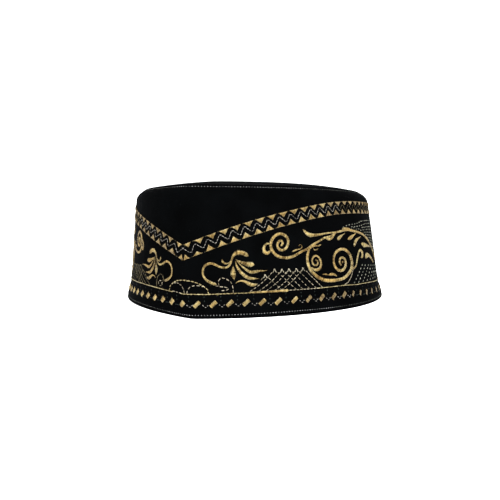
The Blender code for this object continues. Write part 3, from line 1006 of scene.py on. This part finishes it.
def lay_running_work(work, side):
    """The running stitches, nets and dots of one side."""
    running = work["running_stitches"]
    left_net = work["left_net"]
    charts = RUNNING_CHARTS.values() if side > 0 else (LEFT_INNER_ARCH, LEFT_LOOP_EYE)
    for chart in charts:
        lay_running(running, smooth_path(chart), side, dash=1.6)
    if side > 0:
        lay_near_net(work["stitched_nets"], work["net_peaks"], side)
    else:
        # On the left the loop and the near net go in darker olive thread, as painted shade of the right's
        # cream
        lay_running(left_net, smooth_path(RUNNING_CHARTS["loop"]), side, dash=1.6)
        lay_near_net(left_net, left_net, side)
    lay_running(work["couched_arches"], smooth_path(GREAT_ARCH), side, dash=1.75, rise=0.36)
    lay_running(running, smooth_path(THIN_CORD), side, dash=2.1)
    for u, z in FAR_NET_STARTS:
        slanting = [(u, z), (u - FAR_NET_SLANT * (z - NET_FOOT), NET_FOOT)]
        lay_running(work["far_net"], straight_path(slanting), side, dash=1.2, rise=0.28)
    for points in DOTTED_ROWS:
        lay_running(work["dotted_rows"], smooth_path(points), side, dash=1.2, rise=0.28)


# The rows near the hem and along the two edges

def row_height(u, heights):
    """Height of a row at a place along the hem."""
    return np.interp(u, ROW_PLACES, heights)


def lay_level_row(carrier, heights, reach, dash, rise, sunk=0.0):
    """A row of stitches along the cap, between two places."""
    start, end = reach
    u = np.linspace(start, end, int(2 * (end - start)))
    place, facing = cloth(u * MM, row_height(u, heights) * MM)
    running = unit(np.gradient(place, axis=0))
    carrier.add(place - facing * sunk, facing, running, dash, rise)


def lay_rows(work):
    """The gold line, its dashed stretches and the stitching along the hem and the crown seam."""
    for reach in LINE_RUNS:
        lay_level_row(work["gold_line"], LINE_HEIGHTS, reach, dash=1.9, rise=0.34)
    for chart, side in ((LINE_DASHES, 1), (LEFT_LINE_DASHES, -1)):
        lay_running(work["running_stitches"], smooth_path(chart), side, dash=1.7)
    back = HALF_GIRTH / MM
    sunk = STITCH_GROOVE_DEPTH
    for heights, (start, end) in ((HEM_ROW_HEIGHTS, BRIGHT_HEM), (TOP_ROW_HEIGHTS, BRIGHT_TOP)):
        lay_level_row(work["edge_stitches"], heights, (start, end), dash=0.45, rise=0.2, sunk=sunk)
        # Elsewhere the same rows go in a darker thread as painted shade
        for reach in ((end, back), (-back, start)):
            lay_level_row(work["dim_edge_stitches"], heights, reach, dash=0.55, rise=0.2, sunk=sunk)


def diamond_places():
    """Where the diamonds stand, from the last on the left to the last on the right."""
    left = [DIAMOND_LEFT["first"] + DIAMOND_LEFT["pitch"] * k for k in range(DIAMOND_LEFT["count"])]
    right = [DIAMOND_RIGHT["first"] + DIAMOND_RIGHT["pitch"] * k for k in range(DIAMOND_RIGHT["count"])]
    return left[::-1] + [u + np.interp(u, DIAMOND_NUDGE_PLACES, DIAMOND_NUDGES) for u in right]


def lay_diamonds(near_carrier, painted_shade_carrier):
    """The row of slanting diamonds."""
    forms = (DIAMOND_LENGTHS, DIAMOND_WIDTHS, DIAMOND_LEANS, DIAMOND_RISES)
    for u in diamond_places():
        length, width, lean, rise = (np.interp(u, DIAMOND_FORM_PLACES, values) for values in forms)
        along = np.array([math.cos(math.radians(lean)), math.sin(math.radians(lean))])
        across = np.array([-along[1], along[0]])
        centre = np.array([u, row_height(u, DIAMOND_HEIGHTS)])
        rows = centre + np.linspace(-0.5, 0.5, DIAMOND_ROWS)[:, None] * length * along
        # Past a set place the diamonds go in darker gold as painted shade
        carrier = painted_shade_carrier if u > PAINTED_SHADE_DIAMONDS_FROM else near_carrier
        lay_across(carrier, rows, across, 1, width, rise)


def lay_vees(pale, green):
    """The small thread vees between the diamonds and the faint stems above them."""
    places = diamond_places()
    for u0, u1 in zip(places, places[1:]):
        middle = (u0 + u1) / 2
        z = row_height(middle, DIAMOND_HEIGHTS) - DIAMOND_LEVEL
        left = middle - VEE_HALF_WIDTH
        right = middle + VEE_HALF_WIDTH
        if 0 < middle < PALE_VEES_TO:
            vee = [(left, z + VEE_TOP), (middle, z + VEE_FOOT), (right, z + VEE_TOP)]
            lay_running(pale, straight_path(vee), 1, dash=0.85, rise=0.22)
        else:
            tick = [(left, z + TICK), (right, z + TICK)]
            lay_running(green, straight_path(tick), 1, dash=1.0, rise=0.22)
        stem = [(middle, z + STEM_FOOT), (middle + STEM_LEAN, z + STEM_TOP)]
        lay_running(green, straight_path(stem), 1, dash=0.8, rise=0.18)


# Materials

PLAIN = (1.0, 1.0, 1.0)
MIDDLE_OCHRE_AND_END_SHEEN = (0.94, 0.84, 0.58)       # ochre of a stitch's middle; its ends stay paler, as painted sheen
AMBER = (1.0, 0.87, 0.68)        # tints of its random patches, from deep to faint
HONEY = (1.0, 0.92, 0.80)
WHEAT = (1.0, 0.94, 0.85)
THREAD_GLOSS = 0.15              # how much a thread mirrors its surroundings, apart from its metal
GOLD_SHEEN = (1.0, 0.84, 0.52)
VELVET_SHEEN = (0.78, 0.86, 1.0)

# Each thread: dark and light tones, roughness, metal, sheen, and tints of its middle and of its patches;
# the middle's tints leave the ends paler, as painted sheen
THREADS = {
    "gold_satin": ((0.042, 0.026, 0.005), (0.232, 0.198, 0.108), 0.38, 0.45, 0.12, MIDDLE_OCHRE_AND_END_SHEEN, AMBER),
    # A darker copy of the satin gold, as painted shade on the left and far round the right
    "deep_gold": ((0.036, 0.021, 0.004), (0.215, 0.182, 0.093), 0.40, 0.42, 0.08, MIDDLE_OCHRE_AND_END_SHEEN, AMBER),
    "even_gold": ((0.105, 0.078, 0.034), (0.202, 0.171, 0.094), 0.38, 0.45, 0.12, MIDDLE_OCHRE_AND_END_SHEEN, WHEAT),
    "border_gold": ((0.075, 0.053, 0.020), (0.195, 0.164, 0.092), 0.38, 0.45, 0.12, MIDDLE_OCHRE_AND_END_SHEEN, HONEY),
    # A much darker gold, as painted shade on the farther triangles and diamonds
    "shaded_gold": ((0.035, 0.020, 0.006), (0.135, 0.098, 0.042), 0.45, 0.3, 0.1),
    "dull_gold": ((0.035, 0.019, 0.004), (0.09, 0.058, 0.016), 0.5, 0.2, 0.0),
    "gold_cord": ((0.08, 0.058, 0.020), (0.22, 0.185, 0.092), 0.45, 0.2, 0.1),
    # Dark olive thread for the triangles' bases, and as painted shade for the left net and the far zigzag
    "olive_net": ((0.014, 0.011, 0.004), (0.060, 0.048, 0.022), 0.6, 0.0, 0.0),
    "cream_running": ((0.06, 0.050, 0.030), (0.19, 0.165, 0.115), 0.6, 0.0, 0.0),
    "pale_peak": ((0.10, 0.09, 0.062), (0.24, 0.22, 0.16), 0.6, 0.0, 0.0),
    "pale_zigzag": ((0.05, 0.047, 0.042), (0.19, 0.178, 0.155), 0.65, 0.0, 0.0),
    "grey_green_dot": ((0.045, 0.048, 0.036), (0.16, 0.16, 0.125), 0.65, 0.0, 0.0),
    "grey_edge_stitch": ((0.08, 0.08, 0.08), (0.21, 0.21, 0.21), 0.7, 0.0, 0.0),
    # The edge rows' darker copy, as painted shade away from the front
    "dim_thread": ((0.015, 0.016, 0.014), (0.055, 0.058, 0.050), 0.7, 0.0, 0.0),
    "green_stem": ((0.002, 0.004, 0.003), (0.007, 0.012, 0.010), 0.7, 0.0, 0.0),
}

# Each piece of stitching: its thread and slot, pitch and thickness in millimetres, unevenness and seed
STITCHING = {
    "satin_scrolls": ("gold_satin", "gold_thread", 0.42, 0.54, 0.08, 1),
    "deep_scrolls": ("deep_gold", "gold_thread", 0.42, 0.54, 0.08, 21),
    "scroll_hearts": ("dull_gold", "gold_thread", 0.42, 0.54, 0.08, 16),
    "satin_triangles": ("border_gold", "gold_thread", 0.42, 0.54, 0.08, 2),
    "far_triangles": ("shaded_gold", "gold_thread", 0.42, 0.54, 0.08, 22),
    "satin_diamonds": ("even_gold", "gold_thread", 0.60, 0.75, 0.07, 3),
    "far_diamonds": ("shaded_gold", "gold_thread", 0.60, 0.65, 0.07, 20),
    "gold_line": ("gold_cord", "gold_thread", 1.9, 0.46, 0.20, 4),
    "running_stitches": ("cream_running", "cream_thread", 2.1, 0.44, 0.12, 5),
    "couched_arches": ("gold_cord", "gold_thread", 2.15, 0.52, 0.12, 12),
    "stitched_nets": ("cream_running", "cream_thread", 2.2, 0.36, 0.15, 6),
    "left_net": ("olive_net", "cream_thread", 1.7, 0.40, 0.10, 17),
    "net_peaks": ("pale_peak", "cream_thread", 0.8, 0.42, 0.12, 13),
    "far_net": ("grey_green_dot", "cream_thread", 2.78, 0.62, 0.15, 14),
    "dotted_rows": ("grey_green_dot", "cream_thread", 3.3, 0.55, 0.15, 15),
    "zigzag_thread": ("pale_zigzag", "cream_thread", 1.6, 0.27, 0.15, 7),
    "dim_zigzag_thread": ("olive_net", "cream_thread", 1.6, 0.22, 0.15, 19),
    "base_threads": ("olive_net", "gold_thread", 1.7, 0.22, 0.20, 18),
    "small_vees": ("pale_zigzag", "cream_thread", 1.05, 0.34, 0.15, 8),
    "faint_stems": ("green_stem", "cream_thread", 1.2, 0.32, 0.15, 9),
    "edge_stitches": ("grey_edge_stitch", "cream_thread", 1.56, 0.40, 0.12, 10),
    "dim_edge_stitches": ("dim_thread", "cream_thread", 1.56, 0.34, 0.12, 11),
}


def shader_of(name, **settings):
    """A new material, its Principled shader with these sockets set, and its nodes and links."""
    material = bpy.data.materials.new(name)
    material.use_nodes = True
    tree = material.node_tree
    shader = tree.nodes["Principled BSDF"]
    for key, value in settings.items():
        socket = shader.inputs[key.replace("_", " ")]
        socket.default_value = (*value, 1.0) if isinstance(value, tuple) else value
    return material, shader, tree.nodes, tree.links


def noise(nodes, links, source, scale, detail=4.0, roughness=0.55):
    """Fractal noise over a coordinate."""
    made = nodes.new("ShaderNodeTexNoise")
    made.inputs["Scale"].default_value = scale
    made.inputs["Detail"].default_value = detail
    made.inputs["Roughness"].default_value = roughness
    links.new(source, made.inputs["Vector"])
    return made.outputs["Fac"]


def bands(nodes, links, source, direction, scale, distortion):
    """Even bands over a coordinate, a little disturbed."""
    made = nodes.new("ShaderNodeTexWave")
    made.bands_direction = direction
    made.inputs["Scale"].default_value = scale
    made.inputs["Distortion"].default_value = distortion
    links.new(source, made.inputs["Vector"])
    return made.outputs["Fac"]


def ramp(nodes, links, source, stops):
    """Colours along a value."""
    made = nodes.new("ShaderNodeValToRGB")
    bar = made.color_ramp
    while len(bar.elements) < len(stops):
        bar.elements.new(0.5)
    for element, (place, colour) in zip(bar.elements, stops):
        element.position = place
        element.color = (*colour, 1.0)
    links.new(source, made.inputs["Fac"])
    return made.outputs["Color"]


def bump(nodes, links, height, strength, distance, below=None):
    """A bump over an optional coarser one."""
    made = nodes.new("ShaderNodeBump")
    made.inputs["Strength"].default_value = strength
    made.inputs["Distance"].default_value = distance
    links.new(height, made.inputs["Height"])
    if below is not None:
        links.new(below, made.inputs["Normal"])
    return made.outputs["Normal"]


def black_velvet():
    """Near-black short pile: brushed patches, fine fuzz and a cool sheen at grazing angles."""
    material, shader, nodes, links = shader_of(
        "black_velvet", Roughness=0.92, Specular_IOR_Level=0.003,
        Sheen_Weight=0.0035, Sheen_Roughness=0.30, Sheen_Tint=VELVET_SHEEN)
    place = nodes.new("ShaderNodeTexCoord").outputs["Object"]
    patches = noise(nodes, links, place, scale=60.0, detail=3.0)
    tones = [(0.35, (0.00038, 0.00042, 0.00046)), (0.68, (0.0006, 0.0007, 0.0008))]
    links.new(ramp(nodes, links, patches, tones), shader.inputs["Base Color"])
    tufts = noise(nodes, links, place, scale=900.0, detail=3.0)
    pile = noise(nodes, links, place, scale=5200.0, detail=2.0, roughness=0.7)
    coarse = bump(nodes, links, tufts, strength=0.35, distance=0.0002)
    fine = bump(nodes, links, pile, strength=0.5, distance=0.00008, below=coarse)
    links.new(fine, shader.inputs["Normal"])
    return material


def velvet_backing():
    """The velvet's plain woven back, which shows only inside the cap."""
    material, shader, nodes, links = shader_of("velvet_backing", Roughness=0.85)
    place = nodes.new("ShaderNodeTexCoord").outputs["Object"]
    mottle = noise(nodes, links, place, scale=300.0)
    tones = [(0.3, (0.010, 0.010, 0.012)), (0.7, (0.020, 0.020, 0.023))]
    links.new(ramp(nodes, links, mottle, tones), shader.inputs["Base Color"])
    weave = bands(nodes, links, place, "Z", scale=500.0, distortion=0.6)
    links.new(bump(nodes, links, weave, strength=0.4, distance=0.0001), shader.inputs["Normal"])
    return material


def thread_material(name, dark, light, roughness, metal, sheen, middle=PLAIN, patch=PLAIN):
    """Twisted thread: a tone for each stitch, a tinted middle that leaves the ends paler as painted sheen,
    tinted patches and fine slantwise plies.
    """
    material, shader, nodes, links = shader_of(
        name, Roughness=roughness, Specular_IOR_Level=THREAD_GLOSS, Metallic=metal,
        Sheen_Weight=sheen, Sheen_Roughness=0.35, Sheen_Tint=GOLD_SHEEN)
    tone = nodes.new("ShaderNodeAttribute")
    tone.attribute_name = "tone"
    place = nodes.new("ShaderNodeTexCoord").outputs["Object"]
    uv = nodes.new("ShaderNodeUVMap")
    uv.uv_map = "UVMap"
    length = nodes.new("ShaderNodeSeparateXYZ")
    links.new(uv.outputs["UV"], length.inputs["Vector"])
    # The tone of a stitch is half its own and half its neighbourhood's
    drift = nodes.new("ShaderNodeMapRange")
    drift.inputs["From Min"].default_value = 0.32
    drift.inputs["From Max"].default_value = 0.68
    links.new(noise(nodes, links, place, scale=380.0, detail=2.0), drift.inputs["Value"])
    blend = nodes.new("ShaderNodeMix")
    blend.data_type = "FLOAT"
    blend.inputs[0].default_value = 0.5
    links.new(tone.outputs["Fac"], blend.inputs[2])
    links.new(drift.outputs["Result"], blend.inputs[3])
    colour = ramp(nodes, links, blend.outputs[0], [(0.2, dark), (0.8, light)])
    # Over it go the tints of the stitch's middle, which leave its ends paler as painted sheen, and of the
    # patches
    end_sheen_stops = [(0.08, PLAIN), (0.30, middle), (0.70, middle), (0.92, PLAIN)]
    end_sheen_tint = ramp(nodes, links, length.outputs["X"], end_sheen_stops)
    patch_noise = noise(nodes, links, place, scale=70.0, detail=1.0)
    patches = ramp(nodes, links, patch_noise, [(0.38, PLAIN), (0.62, patch)])
    for layer in (end_sheen_tint, patches):
        product = nodes.new("ShaderNodeMix")
        product.data_type = "RGBA"
        product.blend_type = "MULTIPLY"
        product.inputs[0].default_value = 1.0
        links.new(colour, product.inputs[6])
        links.new(layer, product.inputs[7])
        colour = product.outputs[2]
    links.new(colour, shader.inputs["Base Color"])
    plies = bands(nodes, links, uv.outputs["UV"], "DIAGONAL", scale=3.0, distortion=0.4)
    links.new(bump(nodes, links, plies, strength=0.35, distance=0.00006), shader.inputs["Normal"])
    return material


def studio_white():
    """The pale sweep under and behind the cap."""
    return shader_of("studio_white", Base_Color=(0.88, 0.88, 0.88), Roughness=0.8,
                     Emission_Color=PLAIN, Emission_Strength=TABLE_GLOW)[0]


# The whole embroidery

def make_embroidery():
    """Every thread on the band, as one piece for each kind of stitching."""
    work = {name: Carrier() for name in STITCHING}
    for side in (1, -1):
        lay_scrolls(work, side)
        lay_running_work(work, side)
        lay_border(work, side)
    lay_rows(work)
    lay_diamonds(work["satin_diamonds"], work["far_diamonds"])
    lay_vees(work["small_vees"], work["faint_stems"])
    tree = stitching_tree()
    thread = thread_shape()
    materials = {name: thread_material(name, *look) for name, look in THREADS.items()}
    for name, (colour, *sizes) in STITCHING.items():
        sew(name, work[name], tree, thread, materials[colour], *sizes)
    bpy.data.objects.remove(thread)


# Studio

def make_sweep():
    """A pale floor that curves up into a backdrop."""
    profile = [(SWEEP_NEAR_EDGE, 0.0), (SWEEP_RADIUS, 0.0)]
    for i in range(1, SWEEP_STEPS + 1):
        a = math.pi / 2 * i / SWEEP_STEPS
        profile.append((SWEEP_RADIUS * (1 + math.sin(a)), SWEEP_RADIUS * (1 - math.cos(a))))
    profile.append((2 * SWEEP_RADIUS, SWEEP_TOP))
    turn = Matrix.Rotation(CAMERA_TURN + CAMERA_YAW, 3, "Z")
    bm = bmesh.new()
    rails = []
    for x in (-SWEEP_HALF_WIDTH, SWEEP_HALF_WIDTH):
        rails.append([bm.verts.new(turn @ Vector((x, y, z))) for y, z in profile])
    for i in range(len(profile) - 1):
        bm.faces.new((rails[0][i], rails[1][i], rails[1][i + 1], rails[0][i + 1]))
    mesh = bpy.data.meshes.new("sweep")
    bm.to_mesh(mesh)
    bm.free()
    mesh.shade_smooth()
    mesh.materials.append(studio_white())
    sweep = bpy.data.objects.new("sweep", mesh)
    bpy.context.scene.collection.objects.link(sweep)


def make_softbox(name, place, size, power):
    """A square area light aimed at the cap."""
    lamp = bpy.data.lights.new(name, "AREA")
    lamp.shape = "SQUARE"
    lamp.size = size
    lamp.energy = power
    box = bpy.data.objects.new(name, lamp)
    box.location = place
    box.rotation_euler = (Vector(LIGHT_AIM) - Vector(place)).to_track_quat("-Z", "Y").to_euler()
    bpy.context.scene.collection.objects.link(box)


def make_studio():
    """Dim light all round, with a key light high on the right of the front and a weak one on the left."""
    world = bpy.data.worlds.new("studio_air")
    world.use_nodes = True
    air = world.node_tree.nodes["Background"]
    air.inputs["Color"].default_value = (1.0, 1.0, 1.0, 1.0)
    air.inputs["Strength"].default_value = AIR_LIGHT
    bpy.context.scene.world = world
    bpy.context.scene.view_settings.view_transform = "Standard"
    make_softbox("key_light", **KEY_LIGHT)
    make_softbox("side_light", **SIDE_LIGHT)


def make_camera():
    """The photograph's view: a little right of the front, level with the cap's upper half."""
    data = bpy.data.cameras.new("camera")
    data.sensor_width = SENSOR_WIDTH
    data.lens = CAMERA_LENS
    data.clip_start = 0.01
    camera = bpy.data.objects.new("camera", data)
    away = Vector((math.sin(CAMERA_TURN), -math.cos(CAMERA_TURN), 0)) * CAMERA_DISTANCE
    heading = CAMERA_TURN + CAMERA_YAW
    level = math.cos(CAMERA_PITCH)
    ahead = Vector((-math.sin(heading) * level, math.cos(heading) * level, -math.sin(CAMERA_PITCH)))
    right = ahead.cross(Vector((0, 0, 1))).normalized()
    up = right.cross(ahead)
    rolled_right = right * math.cos(CAMERA_ROLL) + up * math.sin(CAMERA_ROLL)
    rolled_up = up * math.cos(CAMERA_ROLL) - right * math.sin(CAMERA_ROLL)
    turn = Matrix((rolled_right, rolled_up, -ahead)).transposed().to_4x4()
    camera.matrix_world = Matrix.Translation(away + Vector((0, 0, CAMERA_HEIGHT))) @ turn
    bpy.context.scene.collection.objects.link(camera)
    bpy.context.scene.camera = camera


make_camera()
velvet = black_velvet()
backing = velvet_backing()
make_velvet_band(velvet, backing)
make_velvet_crown(velvet, backing)
make_embroidery()
make_sweep()
make_studio()
